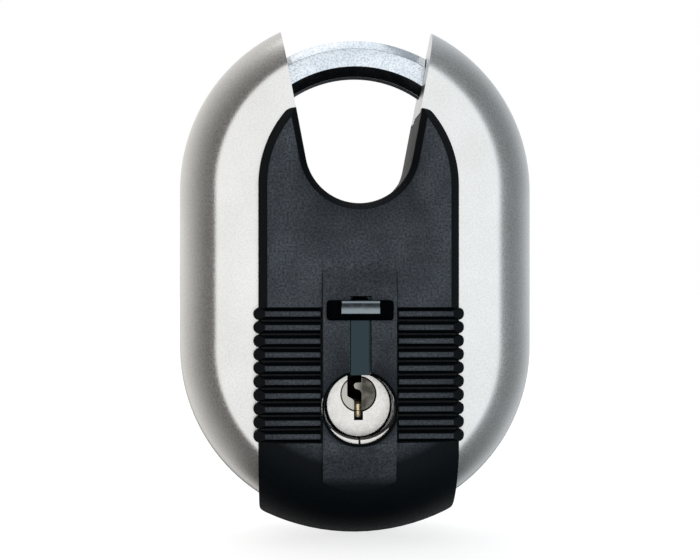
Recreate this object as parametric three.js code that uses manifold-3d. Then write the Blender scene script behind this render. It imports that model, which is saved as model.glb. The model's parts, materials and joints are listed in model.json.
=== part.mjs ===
// Shrouded disc padlock: two pressed shells over a cast core, a swinging arc
// shackle driven through gears by a pin tumbler cylinder, and moulded covers.
// Millimetres, +Z up, front towards -Y. The origin is the middle of the
// shackle's inner face, where a staple or chain bears.
import * as THREE from 'three';
import { mergeVertices } from 'three/addons/utils/BufferGeometryUtils.js';
import Module from 'manifold-3d';

const wasm = await Module();
wasm.setup();

// Clearances
const GAP = 0.3;
const DEG = Math.PI / 180;

// Shackle arc: the lathes below turn about the centre of this ring
const SHACKLE_R_IN = 27.6;
const SHACKLE_R_OUT = 36.4;
const SHACKLE_FLAT = 4.3;
const SHACKLE_FROM = -42;
const SHACKLE_TO = 94;

// Shells: a stadium outline with a rounded shoulder
const BODY_R = 43;
const BODY_RISE = -0.4;
const BODY_DROP = 38.5;
const BODY_HALF = 13.5;
const SHELL_WALL = 2.0;
const HORN_WALL = 2.5;
const RIM_HALF = 1.5;
const SHOULDER_RUN = 9.5;
const SHOULDER_ANGLE = 65;
const SHOULDER_STEPS = 6;
const INNER_STEPS = 3;
const BODY_SEGMENTS = 70;
const INNER_SEGMENTS = 38;

// Opening between the horns
const OPEN_HALF = 11.3;
const OPEN_TAPER = 0.19;
const OPEN_Z = 8.4;
const OPEN_R = (OPEN_HALF + OPEN_TAPER * OPEN_Z) / Math.hypot(1, OPEN_TAPER);
const HORN_FOOT = 18.4;

// Covers
const COVER_HALF = 23.6;
const COVER_SHOULDER_R = 26.8;
const COVER_TOP = 19.3;
const TIP_TOP = 18.1;
const COVER_FACE = 18.0;
const REAR_FACE = 16.6;
const COVER_BEVEL = 2.0;
const COVER_END_R = 51.3;
const COVER_END_Z = -33.1;
// Inset and depth of the points where each cover rounds under
const COVER_DOME = [[24, 0], [20.6, 0.42], [16.6, 1.2], [12.7, 2.5], [8.9, 4.6], [5.4, 7.5], [2.6, 11], [0.8, 14.4]];
const REAR_DOME = [[20.9, 0], [16.6, 0.6], [12.7, 1.8], [8.9, 3.9], [5.4, 7], [2.6, 10.8], [0.8, 14.4]];
const LINER = 1.5;
const LINER_TOP = 18.1;
const STRIP_HALF = 8.55;
const STRIP_FACE = 19.5;
const RIB_COUNT = 10;
const RIB_TOP_Z = -30.2;
const RIB_PITCH = 3.17;
const RIB_HALF = 0.62;
const RIB_SLOPE = 0.79;
const RIB_DEPTH = 1.3;

// Core and back plate
const CORE_FRONT = -BODY_HALF + SHELL_WALL + GAP;
const CORE_REAR = 8.6;
const PLATE_FRONT = CORE_REAR + GAP;
const PLATE_REAR = -CORE_FRONT;

// Gears: the cylinder turns half a turn for the full shackle travel
const MODULE = 1.45;
const PLUG_TEETH = 20;
const SECTOR_TEETH = 48;
const PLUG_Z = -MODULE * (PLUG_TEETH + SECTOR_TEETH) / 2;
const GEAR_FRONT = 5.0;
const GEAR_REAR = 7.6;
const CARRIER_FROM = 50;
const CARRIER_TO = 201;
const TEETH_FROM = 90;
const RIVET_ANGLES = [60, 84];

// Cylinder
const BARREL_R = 7.75;
const BARREL_Z = PLUG_Z - 2.9;
const BARREL_FRONT = -13;
const BARREL_REAR = 4.4;
const PLUG_R = 4.15;
const PLUG_FRONT = -12.6;
const PIN_R = 1.03;
const CHAMBER_R = 1.28;
const PIN_COUNT = 5;
const PIN_FIRST_Y = -10.3;
const PIN_PITCH = 2.7;

// Keyhole slide
const SLIDE_HALF = 2.1;
const SLIDE_GAP = 0.35;
const SLIDE_TOP = -26.3;
const SLIDE_FOOT = -44.4;
const BAR_Z = -29.3;
const BAR_FRONT = -23;
const THUMB_HALF = 4.35;

// Fasteners
const SCREW_SPOTS = [[-14, -17], [14, -17], [-15, -63], [15, -63]];
const POST_SPOTS = [[-17, -26], [17, -26], [0, -69]];

const steel = new THREE.MeshStandardMaterial({ color: 0xb9bab8, roughness: 0.42, metalness: 1 });
const hardSteel = new THREE.MeshStandardMaterial({ color: 0xc9cdd2, roughness: 0.22, metalness: 1 });
const zinc = new THREE.MeshStandardMaterial({ color: 0x9a9b9c, roughness: 0.55, metalness: 0.9 });
const nickel = new THREE.MeshStandardMaterial({ color: 0xd6d4ce, roughness: 0.3, metalness: 1 });
const brass = new THREE.MeshStandardMaterial({ color: 0xb99a5b, roughness: 0.3, metalness: 1 });
const plastic = new THREE.MeshStandardMaterial({ color: 0x23282c, roughness: 0.62, metalness: 0 });
const gloss = new THREE.MeshStandardMaterial({ color: 0x14191d, roughness: 0.18, metalness: 0 });

const group = new THREE.Group();
group.name = 'disc_padlock';
const lock = new THREE.Group();
lock.name = 'lock';
lock.position.z = -SHACKLE_R_IN;
group.add(lock);

// Solids

function toSolid(geometry) {
  const bare = geometry.clone();
  bare.deleteAttribute('normal');
  bare.deleteAttribute('uv');
  const merged = mergeVertices(bare, 1e-4);
  const corners = merged.index.array;
  const kept = [];
  for (let i = 0; i < corners.length; i += 3) {
    const [a, b, c] = [corners[i], corners[i + 1], corners[i + 2]];
    if (a !== b && b !== c && c !== a) kept.push(a, b, c);
  }
  return new wasm.Manifold(new wasm.Mesh({
    numProp: 3,
    vertProperties: new Float32Array(merged.attributes.position.array),
    triVerts: new Uint32Array(kept),
  }));
}

function toGeometry(solid) {
  const mesh = solid.getMesh();
  const geometry = new THREE.BufferGeometry();
  geometry.setAttribute('position', new THREE.BufferAttribute(mesh.vertProperties, 3));
  geometry.setIndex(new THREE.BufferAttribute(mesh.triVerts, 1));
  geometry.computeVertexNormals();
  return geometry;
}

function add(name, solid, material) {
  const mesh = new THREE.Mesh(toGeometry(solid), material);
  mesh.name = name;
  lock.add(mesh);
}

function union(solids) {
  return solids.reduce((whole, solid) => whole.add(solid));
}

function cut(solid, tools) {
  return tools.reduce((rest, tool) => rest.subtract(tool), solid);
}

function box(x0, x1, y0, y1, z0, z1) {
  const geometry = new THREE.BoxGeometry(x1 - x0, y1 - y0, z1 - z0);
  geometry.translate((x0 + x1) / 2, (y0 + y1) / 2, (z0 + z1) / 2);
  return toSolid(geometry);
}

// A cylinder or cone along Y
function rod(x, z, radius, y0, y1, sides = 32, radiusFront = radius) {
  const geometry = new THREE.CylinderGeometry(radius, radiusFront, y1 - y0, sides);
  geometry.translate(x, (y0 + y1) / 2, z);
  return toSolid(geometry);
}

// A cylinder along Z
function post(x, y, radius, z0, z1, sides = 20) {
  const geometry = new THREE.CylinderGeometry(radius, radius, z1 - z0, sides);
  geometry.rotateX(Math.PI / 2);
  geometry.translate(x, y, (z0 + z1) / 2);
  return toSolid(geometry);
}

// A flat shape drawn in X and Z, as thick as yFront to yRear
function plate(shape, yFront, yRear, curveSegments = 24, bevel = {}) {
  const options = { depth: yRear - yFront, bevelEnabled: false, curveSegments, ...bevel };
  const geometry = new THREE.ExtrudeGeometry(shape, options);
  geometry.rotateX(Math.PI / 2);
  geometry.translate(0, yRear, 0);
  return toSolid(geometry);
}

// A side view drawn in Y and Z, as wide as x0 to x1
function beam(points, x0, x1) {
  const shape = new THREE.Shape(points.map(([y, z]) => new THREE.Vector2(y, z)));
  const geometry = new THREE.ExtrudeGeometry(shape, { depth: x1 - x0, bevelEnabled: false });
  geometry.rotateY(Math.PI / 2);
  geometry.rotateX(Math.PI / 2);
  geometry.translate(x0, 0, 0);
  return toSolid(geometry);
}

function polygon(points) {
  return new THREE.Shape(points.map(([x, z]) => new THREE.Vector2(x, z)));
}

// Profiles are radius and Y pairs; facets are tangent to the stated radius
function lathe(profile, segments, phiStart = 0) {
  let area = 0;
  profile.forEach(([r, y], i) => {
    const [nextR, nextY] = profile[(i + 1) % profile.length];
    area += r * nextY - nextR * y;
  });
  const ordered = area > 0 ? profile : [...profile].reverse();
  const grow = 1 / Math.cos(Math.PI / segments);
  const points = ordered.map(([r, y]) => new THREE.Vector2(r * grow, y));
  return new THREE.LatheGeometry(points, segments, phiStart);
}

// A turned solid pulled apart at its middle so its outline becomes a stadium
function stadium(profile, zUpper, zLower, segments = BODY_SEGMENTS) {
  const geometry = lathe(profile, segments);
  const position = geometry.attributes.position;
  const ringSize = profile.length;
  for (let ring = 0; ring <= segments; ring += 1) {
    const shift = Math.cos((ring / segments) * Math.PI * 2) > 0 ? zUpper : zLower;
    for (let k = 0; k < ringSize; k += 1) {
      const index = ring * ringSize + k;
      position.setZ(index, position.getZ(index) + shift);
    }
  }
  return toSolid(geometry);
}

function wedge(from, to, radius = 70) {
  const points = [[0, 0]];
  const steps = Math.ceil((to - from) / 30);
  for (let i = 0; i <= steps; i += 1) {
    const angle = (from + ((to - from) * i) / steps) * DEG;
    points.push([radius * Math.sin(angle), radius * Math.cos(angle)]);
  }
  return plate(polygon(points), -40, 40);
}

// Part of a ring about the shackle centre; angles run clockwise from the top
function ringSector(profile, from, to, segments = 90) {
  const closed = [...profile, profile[0]];
  const ring = toSolid(lathe(closed, segments, Math.PI / segments));
  return ring.intersect(wedge(from, to));
}

function at(radius, angle) {
  return [radius * Math.sin(angle * DEG), radius * Math.cos(angle * DEG)];
}

// Outline of one body half from its axis to the mid plane, offset outwards
function halfBody(offset, midY, steps = SHOULDER_STEPS) {
  const run = SHOULDER_RUN / (1 - Math.cos(SHOULDER_ANGLE * DEG));
  const rise = (BODY_HALF - RIM_HALF) / Math.sin(SHOULDER_ANGLE * DEG);
  const face = -BODY_HALF - offset;
  const profile = [[0, face]];
  profile.push([BODY_R - SHOULDER_RUN + 0.18 * offset, face]);
  for (let i = steps - 1; i >= 0; i -= 1) {
    const angle = (SHOULDER_ANGLE * DEG * i) / steps;
    const r = BODY_R - run * (1 - Math.cos(angle));
    const y = -RIM_HALF - rise * Math.sin(angle);
    const slope = Math.hypot(Math.cos(angle) / run, Math.sin(angle) / rise);
    profile.push([
      r + (offset * Math.cos(angle)) / run / slope,
      y - (offset * Math.sin(angle)) / rise / slope,
    ]);
  }
  profile.push([BODY_R + offset, midY], [0, midY]);
  return profile;
}

function mirrorY(solid) {
  return solid.mirror([0, 1, 0]);
}

function openingShape(offset) {
  const lean = Math.atan(OPEN_TAPER);
  const r = OPEN_R + offset;
  const x = r * Math.cos(lean);
  const z = OPEN_Z - r * Math.sin(lean);
  const top = 60;
  const shape = new THREE.Shape();
  shape.moveTo(x + OPEN_TAPER * (top - z), top);
  shape.lineTo(x, z);
  shape.absarc(0, OPEN_Z, r, -lean, Math.PI + lean, true);
  shape.lineTo(-x - OPEN_TAPER * (top - z), top);
  shape.closePath();
  return shape;
}

function opening(offset, steps = 20) {
  return plate(openingShape(offset), -40, 40, steps);
}

function octagon(grow) {
  const middle = (SHACKLE_R_IN + SHACKLE_R_OUT) / 2;
  const half = (SHACKLE_R_OUT - SHACKLE_R_IN) / 2 + grow;
  const flat = SHACKLE_FLAT / 2 + grow * Math.tan(22.5 * DEG);
  return [
    [middle - flat, -half], [middle + flat, -half], [middle + half, -flat],
    [middle + half, flat], [middle + flat, half], [middle - flat, half],
    [middle - half, flat], [middle - half, -flat],
  ];
}

const ABOVE_FOOT = box(-60, 60, -40, 40, HORN_FOOT, 60);
const BELOW_FOOT = box(-60, 60, -40, 40, -120, HORN_FOOT);

// Shells

function buildShell(holes) {
  const outer = stadium(halfBody(0, -GAP / 2), BODY_RISE, -BODY_DROP);
  const hollow = stadium(halfBody(-SHELL_WALL, 1, INNER_STEPS), BODY_RISE, -BODY_DROP, INNER_SEGMENTS);
  const hornEnds = opening(HORN_WALL, 6).intersect(ABOVE_FOOT);
  const linerGap = opening(LINER + GAP, 16).intersect(BELOW_FOOT);
  const shackleHole = ringSector(octagon(0.4), -60, 60);
  return cut(outer, [hollow.subtract(hornEnds), opening(0), linerGap, shackleHole, ...holes]);
}

const postHoles = POST_SPOTS.map(([x, z]) => rod(x, z, 1.8, -16, -10, 16));
const barrelHole = rod(0, BARREL_Z, BARREL_R + GAP, -16, -8, 48);
add('front_shell', buildShell([...postHoles, barrelHole]), steel);
add('rear_shell', mirrorY(buildShell(postHoles)), steel);

// Covers

function coverOutline() {
  const lift = COVER_SHOULDER_R - COVER_HALF;
  const tipX = Math.sqrt(COVER_SHOULDER_R ** 2 - COVER_TOP ** 2) - lift;
  const tipAngle = Math.asin(COVER_TOP / COVER_SHOULDER_R);
  const cornerZ = COVER_END_Z - Math.sqrt(COVER_END_R ** 2 - COVER_HALF ** 2);
  const endX = COVER_HALF - 1.6;
  const endAngle = -Math.acos(endX / COVER_END_R);
  const endZ = COVER_END_Z + COVER_END_R * Math.sin(endAngle);
  const shape = new THREE.Shape();
  shape.moveTo(-tipX, COVER_TOP);
  shape.lineTo(tipX, COVER_TOP);
  shape.absarc(-lift, 0, COVER_SHOULDER_R, tipAngle, 0, true);
  shape.lineTo(COVER_HALF, cornerZ + 1.6);
  shape.quadraticCurveTo(COVER_HALF, cornerZ, endX, endZ);
  shape.absarc(0, COVER_END_Z, COVER_END_R, endAngle, -Math.PI - endAngle, true);
  shape.quadraticCurveTo(-COVER_HALF, cornerZ, -COVER_HALF, cornerZ + 1.6);
  shape.lineTo(-COVER_HALF, 0);
  shape.absarc(lift, 0, COVER_SHOULDER_R, Math.PI, Math.PI - tipAngle, true);
  return shape;
}

// Outer skin of a cover: bevelled outline, rounded under the bottom
function coverBlock(face) {
  const bevel = {
    bevelEnabled: true,
    bevelThickness: 2.2,
    bevelSize: COVER_BEVEL,
    bevelOffset: -COVER_BEVEL,
    bevelSegments: 2,
  };
  const slab = plate(coverOutline(), -face + 2.2, 6, 12, bevel);
  const dome = stadium([
    [0, -face],
    ...(face === COVER_FACE ? COVER_DOME : REAR_DOME).map(([inset, depth]) => [COVER_END_R - inset, -face + depth]),
    [COVER_END_R, -1], [COVER_END_R, 4], [0, 4],
  ], 40, COVER_END_Z, 50);
  return slab.intersect(dome).intersect(box(-60, 60, -40, 40, -120, TIP_TOP));
}

function coverShell(face) {
  const body = stadium(halfBody(GAP, 1), BODY_RISE, -BODY_DROP, INNER_SEGMENTS);
  const edge = body.add(box(-60, 60, -GAP / 2, 40, -120, 60));
  const rim = {
    bevelEnabled: true,
    bevelThickness: 1.3,
    bevelSize: 1.6,
    bevelSegments: 1,
  };
  const flare = plate(openingShape(0), -40, -face - 0.1, 20, rim);
  const liner = opening(LINER)
    .intersect(box(-60, 60, -BODY_HALF - 1, -GAP / 2, -120, LINER_TOP));
  return cut(coverBlock(face).subtract(edge).add(liner), [opening(0), flare]);
}

function posts() {
  return union(POST_SPOTS.map(([x, z]) => rod(x, z, 1.5, -15, -9.6, 12)));
}

function ribs(face) {
  const bars = [];
  for (let i = 0; i < RIB_COUNT; i += 1) {
    const z = RIB_TOP_Z - i * RIB_PITCH;
    const inner = STRIP_HALF + 0.5 + RIB_SLOPE;
    const outer = COVER_HALF + 1.2 - RIB_SLOPE - RIB_HALF;
    const shape = new THREE.Shape();
    shape.moveTo(inner, z + RIB_HALF);
    shape.lineTo(outer, z + RIB_HALF);
    shape.absarc(outer, z, RIB_HALF, Math.PI / 2, -Math.PI / 2, true);
    shape.lineTo(inner, z - RIB_HALF);
    shape.closePath();
    const bevel = {
      bevelEnabled: true,
      bevelThickness: RIB_DEPTH,
      bevelSize: RIB_SLOPE,
      bevelSegments: 1,
    };
    const bar = plate(shape, -face + RIB_DEPTH, -10, 4, bevel);
    bars.push(bar, bar.mirror([1, 0, 0]));
  }
  return union(bars);
}

function ribPanels(face) {
  const top = RIB_TOP_Z + RIB_PITCH / 2;
  const foot = RIB_TOP_Z - RIB_PITCH * (RIB_COUNT - 0.5);
  const panel = box(STRIP_HALF + 0.2, 30, -30, -face + RIB_DEPTH, foot, top);
  return panel.add(panel.mirror([1, 0, 0]));
}

function centreStrip() {
  const foot = new THREE.Shape();
  foot.moveTo(-STRIP_HALF, -10);
  foot.lineTo(-STRIP_HALF, -69.4);
  foot.quadraticCurveTo(0, -74, STRIP_HALF, -69.4);
  foot.lineTo(STRIP_HALF, -10);
  const outline = plate(foot, -30, -10, 16);
  const side = beam([
    [-14, -17.8], [-COVER_FACE + 0.05, -17.8], [-STRIP_FACE, -27], [-STRIP_FACE, -60.6],
    [-STRIP_FACE + 0.7, -64], [-STRIP_FACE + 1.7, -68], [-STRIP_FACE + 2.6, -71], [-STRIP_FACE + 3.4, -73], [-13, -73],
  ], -10, 10);
  return outline.intersect(side);
}

const bodyGap = stadium(halfBody(GAP, 1), BODY_RISE, -BODY_DROP, INNER_SEGMENTS);
const reliefs = ribs(COVER_FACE).add(centreStrip()).subtract(bodyGap);
const slideSlot = union([
  box(-SLIDE_HALF - SLIDE_GAP, SLIDE_HALF + SLIDE_GAP, -30, -16, -54, SLIDE_TOP + GAP),
  box(-4.2, 4.2, -17.3, -15.9, -54, SLIDE_TOP + GAP),
  box(-1.8, 1.8, -16, -14.5, -43, -30),
]);
const barrelWell = rod(0, BARREL_Z, 8.25, -40, -8, 48);
const bezelSeat = rod(0, BARREL_Z, 8.9, -18.3, -8, 48);
const wellRim = rod(0, BARREL_Z, 8.2, -20.1, -18.9, 48, 9.4);
const frontCover = cut(
  coverShell(COVER_FACE).subtract(ribPanels(COVER_FACE)).add(reliefs),
  [slideSlot, barrelWell, bezelSeat, wellRim],
).add(posts());
add('front_cover', frontCover, plastic);
add('rear_cover', mirrorY(coverShell(REAR_FACE).add(posts())), plastic);

// Core and back plate

const ringChannel = [
  [SHACKLE_R_IN - 0.35, -5.05], [SHACKLE_R_OUT + 0.35, -5.05],
  [SHACKLE_R_OUT + 0.35, 12], [SHACKLE_R_IN - 0.35, 12],
];
const gearChannel = [[25.6, 4.7], [36.9, 4.7], [36.9, 12], [25.6, 12]];
const inside = stadium(halfBody(-SHELL_WALL - GAP, 0, INNER_STEPS), BODY_RISE, -BODY_DROP, INNER_SEGMENTS);
const filling = inside.add(mirrorY(inside)).subtract(opening(HORN_WALL + GAP, 10));

function buildCore() {
  const screwHoles = SCREW_SPOTS.map(([x, z]) => rod(x, z, 1.8, -2, 12, 16));
  const nutWells = POST_SPOTS.map(([x, z]) => rod(x, z, 3.8, -16, -9.2, 20));
  const pinHole = toSolid(new THREE.CylinderGeometry(1.05, 1.05, 54, 16)
    .rotateZ(Math.PI / 2).translate(17.2, 3.1, BARREL_Z - 7.4));
  return cut(filling.intersect(box(-60, 60, CORE_FRONT, CORE_REAR, -120, 60)), [
    ringSector(ringChannel, 20, 171.5, 60),
    ringSector(ringChannel, -44, -20, 60),
    ringSector(gearChannel, 44, 279, 60),
    rod(0, PLUG_Z, 16.4, 4.7, 12, 48),
    rod(0, BARREL_Z, BARREL_R + GAP, -16, 12, 48),
    pinHole, ...screwHoles, ...nutWells,
  ]);
}

function buildBackPlate() {
  const screwHoles = SCREW_SPOTS.map(([x, z]) => rod(x, z, 1.8, 7, 14, 16));
  const headWells = SCREW_SPOTS.map(([x, z]) => rod(x, z, 2.9, 9.9, 14, 20));
  const nutWells = POST_SPOTS.map(([x, z]) => rod(x, z, 3.8, 7, 14, 20));
  return cut(filling.intersect(box(-60, 60, PLATE_FRONT, PLATE_REAR, -120, 60)), [
    rod(0, PLUG_Z, 2.3, 7, 14, 24), ...screwHoles, ...headWells, ...nutWells,
  ]);
}

add('core_block', buildCore(), zinc);
add('back_plate', buildBackPlate(), steel);

SCREW_SPOTS.forEach(([x, z], i) => {
  const screw = rod(x, z, 1.5, -1.4, 10.3, 12).add(rod(x, z, 2.6, 10.2, 11.1, 16));
  add(`case_screw_${i + 1}`, screw.subtract(rod(x, z, 1.3, 10.4, 12, 6)), steel);
});

POST_SPOTS.forEach(([x, z], i) => {
  const nut = rod(x, z, 3.4, -11.1, -10.5, 16).subtract(rod(x, z, 1.8, -12, -9, 12));
  add(`front_cover_nut_${i + 1}`, nut, steel);
  add(`rear_cover_nut_${i + 1}`, mirrorY(nut), steel);
});

// Shackle, its toothed carrier and the rivets between them

function rivetSpot(angle) {
  return at((SHACKLE_R_IN + SHACKLE_R_OUT) / 2, angle);
}

const rivetHoles = RIVET_ANGLES.map((angle) => rod(...rivetSpot(angle), 1.6, 0.2, 9, 20));
const shackle = ringSector(octagon(0), SHACKLE_FROM, SHACKLE_TO);
add('shackle', cut(shackle, rivetHoles), hardSteel);

// One tooth flank, from the root out: pairs of radius and half angle
function flank(teeth, thickness) {
  const pitchR = (MODULE * teeth) / 2;
  const baseR = pitchR * Math.cos(20 * DEG);
  const root = pitchR - 1.15 * MODULE;
  const tip = pitchR + 0.85 * MODULE;
  const involute = (r) => {
    const angle = Math.acos(Math.min(1, baseR / r));
    return Math.tan(angle) - angle;
  };
  const halfPitch = (thickness * Math.PI) / teeth + involute(pitchR);
  return [root, Math.max(root, baseR) + 0.05, pitchR, tip].map(
    (r) => [r, halfPitch - involute(r)],
  );
}

// Tooth outline points about a centre, angles clockwise from the top
function toothPoints(teeth, centre, thickness = 0.38) {
  const side = flank(teeth, thickness);
  const rising = side.map(([r, half]) => [r, -half]);
  const falling = [...side].reverse();
  return [...rising, ...falling].map(([r, half]) => [
    r * Math.sin(centre + half), r * Math.cos(centre + half),
  ]);
}

function buildCarrier() {
  const points = [];
  const step = 360 / SECTOR_TEETH;
  for (let angle = CARRIER_FROM; angle < TEETH_FROM - 4; angle += 5) {
    points.push(at(36.4, angle));
  }
  points.push(at(36.4, TEETH_FROM - step / 2));
  for (let angle = TEETH_FROM; angle < CARRIER_TO - step / 2; angle += step) {
    points.push(...toothPoints(SECTOR_TEETH, angle * DEG));
  }
  const inner = [];
  for (let angle = CARRIER_TO - 1; angle >= CARRIER_FROM; angle -= 5) {
    inner.push(at(27.2, angle));
  }
  inner.push(at(27.2, CARRIER_FROM));
  const blank = plate(polygon([...points, at(33, CARRIER_TO - 1), ...inner]), GEAR_FRONT, GEAR_REAR);
  const wells = RIVET_ANGLES.map((angle) => rod(...rivetSpot(angle), 2.6, 6.6, 9, 20));
  return cut(blank, [...rivetHoles, ...wells]);
}

add('shackle_carrier', buildCarrier(), hardSteel);
RIVET_ANGLES.forEach((angle, i) => {
  const spot = rivetSpot(angle);
  add(`carrier_rivet_${i + 1}`, rod(...spot, 1.3, 0.5, 7, 20).add(rod(...spot, 2.3, 6.9, 7.6, 20)), steel);
});

// Cylinder

function keyway(rise) {
  return polygon([
    [-2.66, 4.6 + rise], [0.72, 4.6 + rise], [0.72, 2.7], [-0.75, 2.62], [-1.05, 2.1],
    [-0.75, 1.2], [0.3, 0.85], [0.79, 0.3], [0.79, -6.2], [-1.0, -6.2], [-1.0, -2.1],
    [-1.35, -1.3], [-2.66, -0.43],
  ].map(([x, z]) => [x, z + PLUG_Z]));
}

function pinY(index) {
  return PIN_FIRST_Y + index * PIN_PITCH;
}

function buildBarrel() {
  const chambers = [];
  for (let i = 0; i < PIN_COUNT; i += 1) {
    chambers.push(post(0, pinY(i), CHAMBER_R, PLUG_Z - 10, PLUG_Z - 3.6));
  }
  const crossPin = toSolid(new THREE.CylinderGeometry(1.05, 1.05, 30, 16)
    .rotateZ(Math.PI / 2).translate(0, 3.1, BARREL_Z - 7.4));
  const mouth = plate(keyway(1), -16, -10.6);
  const chamfer = rod(0, BARREL_Z, BARREL_R, BARREL_FRONT - 1, BARREL_FRONT + 0.5, 48, 7.0);
  const blank = rod(0, BARREL_Z, BARREL_R, BARREL_FRONT, BARREL_REAR, 48);
  const nose = blank.intersect(chamfer.add(rod(0, BARREL_Z, 9, BARREL_FRONT + 0.4, 9)));
  return cut(nose, [
    rod(0, PLUG_Z, PLUG_R + 0.25, -16, 9, 48),
    box(-1.7, 1.7, -12, 1.9, PLUG_Z - 12, PLUG_Z - 9.95),
    mouth, crossPin, ...chambers,
  ]);
}

function buildPlug() {
  const chambers = [];
  for (let i = 0; i < PIN_COUNT; i += 1) {
    chambers.push(post(0, pinY(i), CHAMBER_R, PLUG_Z - 6, PLUG_Z - 1.2));
  }
  const tail = rod(0, PLUG_Z, 2.0, 4, 10.8, 24)
    .intersect(box(-1.6, 1.6, 4, 12, -100, 0).add(rod(0, PLUG_Z, 3, 7.7, 12)));
  const whole = rod(0, PLUG_Z, PLUG_R, PLUG_FRONT, 4.7, 48).add(tail);
  const groove = rod(0, PLUG_Z, 3, 7.9, 8.5).subtract(rod(0, PLUG_Z, 1.6, 7, 9, 20));
  return cut(whole, [plate(keyway(0), -16, 1.9), groove, ...chambers]);
}

add('cylinder_body', buildBarrel(), nickel);
add('plug', buildPlug(), nickel);

function buildGear() {
  const points = [];
  for (let i = 0; i < PLUG_TEETH; i += 1) {
    const centre = ((i + 0.5) * Math.PI * 2) / PLUG_TEETH;
    points.push(...toothPoints(PLUG_TEETH, centre));
  }
  const blank = plate(polygon(points.map(([x, z]) => [x, z + PLUG_Z])), GEAR_FRONT, GEAR_REAR);
  const bore = rod(0, PLUG_Z, 2.25, 4, 9, 24).intersect(box(-1.85, 1.85, 4, 9, -100, 0));
  return blank.subtract(bore);
}

add('drive_gear', buildGear(), hardSteel);

function buildCirclip() {
  const ring = rod(0, PLUG_Z, 3.6, 8.0, 8.4, 32).subtract(rod(0, PLUG_Z, 1.85, 7, 9, 24));
  return ring.subtract(box(-0.9, 0.9, 7, 9, PLUG_Z, PLUG_Z + 6));
}

add('gear_circlip', buildCirclip(), steel);

for (let i = 0; i < PIN_COUNT; i += 1) {
  const keyPin = post(0, pinY(i), PIN_R, PLUG_Z - 4.0, PLUG_Z - 2.5, 12);
  const driverPin = post(0, pinY(i), PIN_R, PLUG_Z - 7.2, PLUG_Z - 4.45, 12);
  add(`key_pin_${i + 1}`, keyPin, brass);
  add(`driver_pin_${i + 1}`, driverPin, brass);
}

class SpringPath extends THREE.Curve {
  constructor(y) {
    super();
    this.y = y;
  }

  getPoint(t) {
    const turn = t * Math.PI * 2 * 4;
    const z = PLUG_Z - 7.6 - 2.0 * t;
    return new THREE.Vector3(0.75 * Math.cos(turn), this.y + 0.75 * Math.sin(turn), z);
  }
}

for (let i = 0; i < PIN_COUNT; i += 1) {
  const wire = polygon([[0.16, 0], [0, 0.16], [-0.16, 0], [0, -0.16]]);
  const options = { steps: 28, extrudePath: new SpringPath(pinY(i)) };
  add(`pin_spring_${i + 1}`, toSolid(new THREE.ExtrudeGeometry(wire, options)), steel);
}

add('pin_chamber_cap', box(-1.35, 1.35, -11.7, 1.6, PLUG_Z - 10.5, PLUG_Z - 10.15), steel);
add('cylinder_pin', toSolid(new THREE.CylinderGeometry(0.75, 0.75, 19, 16)
  .rotateZ(Math.PI / 2).translate(0, 3.1, BARREL_Z - 7.4)), steel);

// A split ring that lines the well around the cylinder face
const bezelProfile = [[8.2, -13.8], [8.6, -13.8], [8.6, -18.0], [8.3, -18.0], [8.2, -13.8]];
const bezelHole = rod(0, BARREL_Z + 1.74, 9.02, -20, -12, 48);
const bezelLip = rod(0, BARREL_Z, 8.5, -18.0, -13.8, 48).subtract(bezelHole);
const bezel = toSolid(lathe(bezelProfile, 48).translate(0, 0, BARREL_Z)).add(bezelLip);
const bezelSplit = box(-0.18, 0.18, -30, 0, BARREL_Z - 12, BARREL_Z);
const bezelNotch = box(-4.5, 4.5, -30, -15.8, BARREL_Z + 4, BARREL_Z + 12);
add('bezel_ring', cut(bezel, [bezelSplit, bezelNotch]), nickel);

// Keyhole slide and the leaf spring that holds it where it is put

function barShape() {
  const [halfX, halfZ, r] = [7.75, 2.35, 0.8];
  const shape = new THREE.Shape();
  shape.moveTo(-halfX + r, BAR_Z - halfZ);
  shape.absarc(halfX - r, BAR_Z - halfZ + r, r, -Math.PI / 2, 0);
  shape.absarc(halfX - r, BAR_Z + halfZ - r, r, 0, Math.PI / 2);
  shape.absarc(-halfX + r, BAR_Z + halfZ - r, r, Math.PI / 2, Math.PI);
  shape.absarc(-halfX + r, BAR_Z - halfZ + r, r, Math.PI, Math.PI * 1.5);
  return shape;
}

// The bar seen from above: a flat thumb pad with its two ends falling away
function barCrown() {
  const right = [[THUMB_HALF, BAR_FRONT], [THUMB_HALF, BAR_FRONT + 0.5], [8, BAR_FRONT + 2.4], [8, -18]];
  const left = right.map(([x, y]) => [-x, y]).reverse();
  const geometry = new THREE.ExtrudeGeometry(polygon([...right, ...left]), {
    depth: 8, bevelEnabled: false,
  });
  return toSolid(geometry.translate(0, 0, BAR_Z - 4));
}

function buildSlide() {
  const side = beam([
    [-18, 2.35], [-22.7, 2.35], [BAR_FRONT, 2.05], [BAR_FRONT + 0.3, 1.1], [BAR_FRONT + 0.3, 0],
    [BAR_FRONT, -1.15], [-21.2, -2.35], [-18, -2.35],
  ].map(([y, z]) => [y, z + BAR_Z]), -9, 9);
  const bar = plate(barShape(), -24, -19.6, 4).intersect(side).intersect(barCrown());
  const strip = box(-SLIDE_HALF, SLIDE_HALF, -18.9, -16.2, SLIDE_FOOT, SLIDE_TOP);
  const rails = box(-3.8, 3.8, -17.0, -16.2, SLIDE_FOOT + 0.4, SLIDE_TOP);
  const neck = box(-SLIDE_HALF, SLIDE_HALF, -20.5, -18.5, BAR_Z - 2.2, BAR_Z + 2.2);
  return union([bar, neck, strip, rails]);
}

add('key_cover_slide', buildSlide(), gloss);

function buildLeaf() {
  const upper = [];
  const lower = [];
  for (let i = 0; i <= 12; i += 1) {
    const z = -30.6 - i * 0.98;
    const bow = 0.5 * Math.sin((i / 12) * Math.PI);
    upper.push([-15.2 - bow, z]);
    lower.unshift([-14.9 - bow, z]);
  }
  return beam([...upper, ...lower], -1.4, 1.4);
}

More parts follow.
